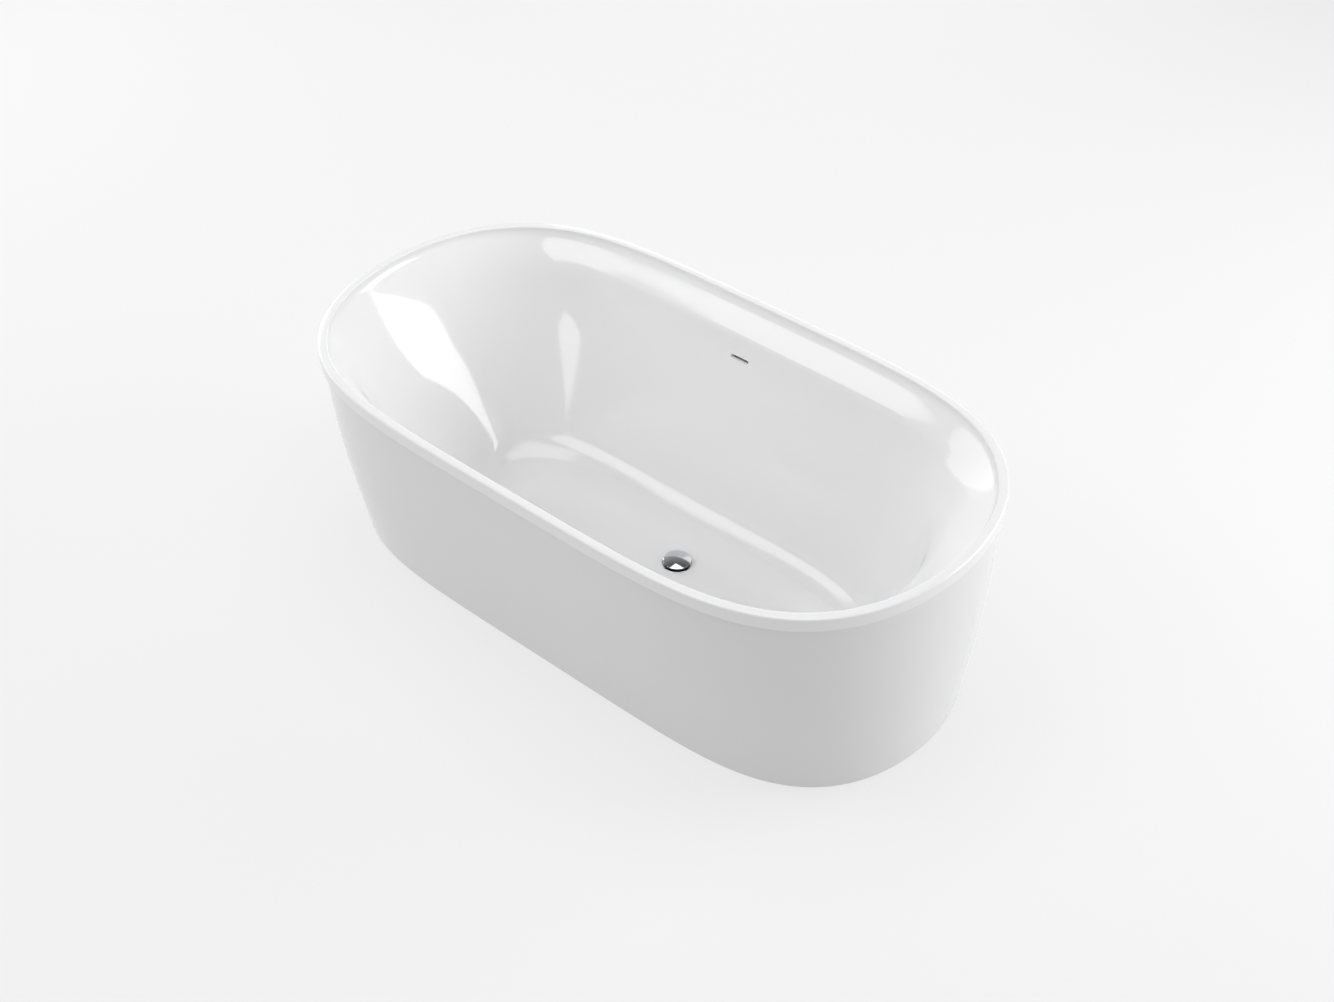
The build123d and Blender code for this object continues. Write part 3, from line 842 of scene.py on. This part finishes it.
def copies_tree():
    """Node group that puts one shape on every vertex of a helper mesh."""
    tree = bpy.data.node_groups.new("copies", "GeometryNodeTree")
    inputs = (("Shape", "NodeSocketObject"), ("Places", "NodeSocketObject"), ("Finish", "NodeSocketMaterial"))
    for name, kind in inputs:
        tree.interface.new_socket(name, in_out="INPUT", socket_type=kind)
    tree.interface.new_socket("Mesh", in_out="OUTPUT", socket_type="NodeSocketGeometry")
    graph = Graph(tree)
    given = [graph.add("NodeGroupInput", out=index) for index in range(len(inputs))]
    shape = graph.add("GeometryNodeObjectInfo", None, {"Object": given[0]}, out=4)
    places = graph.add("GeometryNodeObjectInfo", None, {"Object": given[1]}, out=4)
    turn = graph.add("GeometryNodeInputNamedAttribute", {"data_type": "FLOAT_VECTOR"}, {"Name": "turn"})
    spin = graph.add("FunctionNodeEulerToRotation", None, {"Euler": turn})
    setting = {"Points": places, "Instance": shape, "Rotation": spin}
    copies = graph.add("GeometryNodeInstanceOnPoints", None, setting)
    real = graph.add("GeometryNodeRealizeInstances", None, {"Geometry": copies})
    coated = graph.add("GeometryNodeSetMaterial", None, {"Geometry": real, "Material": given[2]})
    graph.add("NodeGroupOutput", None, {"Mesh": coated})
    return tree


COPIES_TREE = copies_tree()


def copied(name, shape, places, material, turns=None):
    """One mesh of copies of a shape, which is then removed."""
    mesh = bpy.data.meshes.new(name + "_places")
    mesh.from_pydata(places, [], [])
    layer = mesh.attributes.new("turn", "FLOAT_VECTOR", "POINT")
    for item, turn in zip(layer.data, turns or [(0, 0, 0)] * len(places)):
        item.vector = turn
    points = bpy.data.objects.new(name + "_places", mesh)
    bpy.context.scene.collection.objects.link(points)
    piece = run_tree(name, COPIES_TREE, {"Shape": shape, "Places": points, "Finish": material})
    bpy.data.objects.remove(points)
    bpy.data.objects.remove(shape)
    return outward(piece)


def joined(name, pieces):
    """Several meshes as one piece."""
    mesh = bmesh.new()
    for piece in pieces:
        mesh.from_mesh(piece.data)
    data = bpy.data.meshes.new(name)
    mesh.to_mesh(data)
    mesh.free()
    data.materials.append(pieces[0].data.materials[0])
    for piece in pieces:
        bpy.data.objects.remove(piece)
    whole = bpy.data.objects.new(name, data)
    bpy.context.scene.collection.objects.link(whole)
    return outward(whole)


print("copies tree:", len(COPIES_TREE.nodes), "nodes")

# %% [markdown]
# A levelling foot is a rubber pad with a socket, and a threaded stud that turns in it and
# in the steel bearer above. Pad and stud ride on different bodies, because the pad only
# rises and falls while the stud turns.

# %% Levelling feet
FOOT_NUMBERS = (1, 2, 3, 4)
STUD_R = 6 * MM
STUD_PITCH = 1.75 * MM
THREAD_DEPTH = 0.9 * MM
PAD_SHEET = 6 * MM
PAD_BOSS_R = 13 * MM
THREAD_PLAY = 0.05 * MM
COLLAR_CORNER = 10 * MM
COLLAR_BORE = 5 * MM
COLLAR_HEIGHT = 8 * MM
COLLAR_LOW = 14.5 * MM
foot_places = []
for number in FOOT_NUMBERS:
    pad_low, pad_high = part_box(f"foot_pad_{number}")
    stud_low, stud_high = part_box(f"foot_stud_{number}")
    x, y = (pad_low.x + pad_high.x) / 2, (pad_low.y + pad_high.y) / 2
    pad_r = (pad_high.x - pad_low.x) / 2
    foot_places.append((x, y))
    socket = STUD_R + THREAD_PLAY
    pad_points = ((0, pad_low.z), (pad_r - 1.5 * MM, pad_low.z), (pad_r, pad_low.z + 1.5 * MM),
                  (pad_r, PAD_SHEET - 1 * MM), (PAD_BOSS_R + 2 * MM, PAD_SHEET),
                  (PAD_BOSS_R, PAD_SHEET + 2 * MM),
                  (PAD_BOSS_R, pad_high.z), (socket, pad_high.z), (socket, PAD_SHEET), (0, PAD_SHEET))
    reaches = [edge * MM for edge in (0.6, 0.6, 1.0, 1.2, 0.8, 1.0, 0.4, 0.3)]
    pad = turned(f"floor_pad_{number}", pad_points, reaches, pad_rubber, x, y, 64, 4 * MM)
    keep(pad, [f"foot_pad_{number}"], f"foot_{number}")
    rod = threaded("rod", STUD_R, THREAD_DEPTH / 2, STUD_PITCH, stud_low.z, stud_high.z, zinc, x, y)
    collar = hex_section("collar", COLLAR_CORNER, COLLAR_BORE, COLLAR_HEIGHT, zinc)
    move(collar, Matrix.Translation((x, y, COLLAR_LOW)))
    keep(joined(f"stud_{number}", [rod, collar]), [f"foot_stud_{number}"], f"stud_{number}")

# %% [markdown]
# Eight lock nuts hold the studs, four above and four below the bearers, and eight screws
# hold the board down on them. Each set is one nut or one screw, copied to its places.

# %% Lock nuts and board screws
NUT_CORNER = 10.5 * MM
for node in ("nuts_upper", "nuts_lower"):
    low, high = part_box(node)
    blank = hex_section("blank", NUT_CORNER, STUD_R + THREAD_PLAY, high.z - low.z, zinc)
    nuts = copied(node + "_set", blank, [(x, y, low.z) for x, y in foot_places], zinc)
    keep(nuts, [node], "tub")

SCREW_LOW, SCREW_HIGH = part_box("board_screws")
SCREW_HEAD = 3 * MM
SCREW_R = 2.5 * MM
SCREW_THREAD = 0.3 * MM
SCREW_PITCH = 1.6 * MM
SCREW_HEAD_R = 5 * MM
SCREW_EDGE = 0.2 * MM
SCREW_Y = [step * MM for step in (-70, -30, 30, 70)]
screw_x = sorted({round(x, 5) for x, _ in foot_places})
head = hex_section("head", SCREW_HEAD_R, 1 * MM, SCREW_HEAD, zinc, edge=0.3)
washer_points = ((0, 2.6 * MM), (SCREW_HEAD_R, 2.2 * MM), (SCREW_HEAD_R, SCREW_HEAD), (0, SCREW_HEAD))
washer = turned("washer", washer_points, (SCREW_EDGE, SCREW_EDGE), zinc, 0, 0, 48)
plug_points = ((0, 0.4 * MM), (3 * MM, 0.4 * MM), (3 * MM, 2 * MM), (0, 2 * MM))
plug = turned("plug", plug_points, (SCREW_EDGE, SCREW_EDGE), zinc, 0, 0, 24)
shank = threaded("shank", SCREW_R, SCREW_THREAD, SCREW_PITCH, SCREW_HEAD, SCREW_HIGH.z - SCREW_LOW.z,
                 zinc, 0, 0, 16)
screw = joined("screw", [head, washer, plug, shank])
screw_places = [(x, y, SCREW_LOW.z) for x in screw_x for y in SCREW_Y]
screws = copied("board_screw_set", screw, screw_places, zinc)
keep(screws, ["board_screws"], "tub")

# %% [markdown]
# ## Frame, seals and pipes
#
# These nodes already have their true shape, so they keep it and only get a finish: ply
# for the board, spangled zinc on the steel, rubber, brass and two plastics.

# %% Plywood, adhesive and pipe plastic
def ply_layers(graph, place):
    height = graph.add("ShaderNodeSeparateXYZ", None, {"Vector": place}, out=2)
    return graph.add("ShaderNodeMath", {"operation": "PINGPONG"}, {0: height / (2 * MM), 1: 1.0})


def wood_grain(graph, place):
    long_grain = noise(graph, place, 24.0, 5.0, (0.12, 1.0, 1.0), seed=1.0)
    pores = noise(graph, place, 420.0, 2.0, (0.06, 1.0, 1.0), seed=7.0)
    return long_grain * 0.6 + pores * 0.2 + ply_layers(graph, place) * 0.2


def beaded(graph, place):
    return noise(graph, place, 220.0, 2.0, seed=8.0)


plywood = finish("board", tint((0.44, 0.30, 0.16), (0.70, 0.54, 0.34), wood_grain),
                 spread(0.6, 0.8, wood_grain), (wood_grain, 0.0002))
adhesive = finish("adhesive", tint((0.62, 0.62, 0.60), (0.70, 0.70, 0.68), beaded),
                  spread(0.4, 0.6, beaded), (beaded, 0.0003))
pipe_plastic = finish("pipe_plastic", tint((0.25, 0.27, 0.30), (0.31, 0.33, 0.36), smudge),
                      spread(0.4, 0.55, smudge), (grainy, 0.00004))
CARRIED = {
    "floor_board": plywood, "rim_bead": adhesive, "skirt_pads": adhesive,
    "bearer_left": galvanised, "bearer_right": galvanised, "skirt_brackets": galvanised,
    "drain_guide": brass, "drain_nut": brass, "drain_tee": brass, "tail_nut": brass,
    "tailpiece": chrome, "cap_clip": zinc,
    "drain_gasket": seal_rubber, "cap_seal": seal_rubber, "overflow_gasket": seal_rubber,
    "overflow_box": abs_plastic, "overflow_pipe": pipe_plastic, "pipe_nuts": pipe_plastic,
}
for node, material in CARRIED.items():
    for slot in nodes[node].material_slots:
        slot.material = material
print(len(CARRIED), "CAD nodes finished")

# %% [markdown]
# ## Floor, light and camera
#
# The tub stands on a plain pale floor that glows a little, so that it stays even to its edges and still takes
# a soft contact shadow. White on white is shown by shading, so the light comes in unevenly: the strongest
# panel is low, behind and to the right, and leaves the long wall and the basin's floor greyer than the
# backrest and the shoulder. The skirt is also greyer through painted shade in its colour.
# The panel high in front is there for the sheen that it leaves along the shoulder.

# %% Stage
FLOOR_HALF = 9.0
FLOOR_GLOW = 0.88
FLOOR_MATT_SHARE = 0.25
FLOOR_WHITE = 0.85
floor_mesh = bpy.data.meshes.new("floor")
floor_corners = [(x * FLOOR_HALF, y * FLOOR_HALF, 0) for x, y in ((-1, -1), (1, -1), (1, 1), (-1, 1))]
floor_mesh.from_pydata(floor_corners, [], [(0, 1, 2, 3)])
floor = bpy.data.objects.new("floor", floor_mesh)
bpy.context.scene.collection.objects.link(floor)
floor_material = bpy.data.materials.new("pale_floor")
floor_material.use_nodes = True
floor_graph = Graph(floor_material.node_tree)
glow = floor_graph.add("ShaderNodeEmission", None, {"Color": (1, 1, 1, 1), "Strength": FLOOR_GLOW})
matt = floor_graph.add("ShaderNodeBsdfDiffuse", None, {"Color": (FLOOR_WHITE,) * 3 + (1,)})
mixed = floor_graph.add("ShaderNodeMixShader", None, {"Fac": FLOOR_MATT_SHARE, 1: glow, 2: matt})
floor_graph.add("ShaderNodeOutputMaterial", None, {"Surface": mixed})
floor_mesh.materials.append(floor_material)
print("floor", 2 * FLOOR_HALF, "m wide")

# %% World and panels
WORLD_STRENGTH = 0.82
MIDDLE = Vector((0, 0, 0.3))
PANELS = (
    # name, turn from +X towards +Y and rise in degrees, distance, width, height, watts
    ("back_right_panel", 46, 22, 4.2, 2.6, 2.0, 98),
    ("right_panel", 4, 22, 4.2, 2.4, 2.0, 20),
    ("back_left_panel", 120, 18, 4.2, 2.4, 2.0, 27),
    ("left_panel", 180, 20, 4.2, 3.6, 2.4, 61),
    ("front_left_panel", 242, 50, 4.2, 3.2, 1.5, 52),
    ("top_panel", 90, 89, 3.6, 3.0, 3.0, 67),
)
world = bpy.data.worlds.new("studio")
bpy.context.scene.world = world
world.use_nodes = True
world_graph = Graph(world.node_tree)
direction = world_graph.add("ShaderNodeTexCoord", out=0)
height = world_graph.add("ShaderNodeSeparateXYZ", None, {"Vector": direction}, out=2)
strength = (1 - height.maths("MAXIMUM", height, 0.0)) * WORLD_STRENGTH
sky = world_graph.add("ShaderNodeBackground", None, {"Color": (1, 1, 1, 1), "Strength": strength})
world_graph.add("ShaderNodeOutputWorld", None, {"Surface": sky})


def panel(name, turn, rise, distance, width, tall, watts):
    """Rectangular soft light that faces the middle of the tub."""
    lamp = bpy.data.lights.new(name, "AREA")
    lamp.shape = "RECTANGLE"
    lamp.size, lamp.size_y = width, tall
    lamp.energy = watts
    light = bpy.data.objects.new(name, lamp)
    bpy.context.scene.collection.objects.link(light)
    facing = Euler((math.radians(90 - rise), 0, math.radians(turn + 90)))
    light.rotation_euler = facing
    light.location = MIDDLE + facing.to_matrix() @ Vector((0, 0, distance))
    return light


for panel_facts in PANELS:
    panel(*panel_facts)
print(len(PANELS), "panels")

# %% [markdown]
# The camera looks down on the tub from in front, on the side of its steeper end. Its
# distance and angles are given about a point over the middle of the tub's base, and two
# small angles turn its aim off that point.

# %% Camera
CAMERA_TURN = math.radians(41.64)
CAMERA_RISE = math.radians(39.69)
CAMERA_FAR = 4.2016
CAMERA_MIDDLE = 0.2692
AIM_TURN = CAMERA_TURN - 0.0134
AIM_RISE = CAMERA_RISE + 0.0063
LENS = 50
SENSOR = 36
camera = bpy.data.objects.new("camera", bpy.data.cameras.new("camera"))
bpy.context.scene.collection.objects.link(camera)
camera.data.lens = LENS
camera.data.sensor_width = SENSOR
level = math.cos(CAMERA_RISE) * CAMERA_FAR
camera.location = (level * math.sin(CAMERA_TURN), -level * math.cos(CAMERA_TURN),
                   CAMERA_MIDDLE + math.sin(CAMERA_RISE) * CAMERA_FAR)
camera.rotation_euler = Euler((math.pi / 2 - AIM_RISE, 0, AIM_TURN))
bpy.context.scene.camera = camera
bpy.context.scene.view_settings.view_transform = "Standard"
print("camera at", [round(v, 3) for v in camera.location])
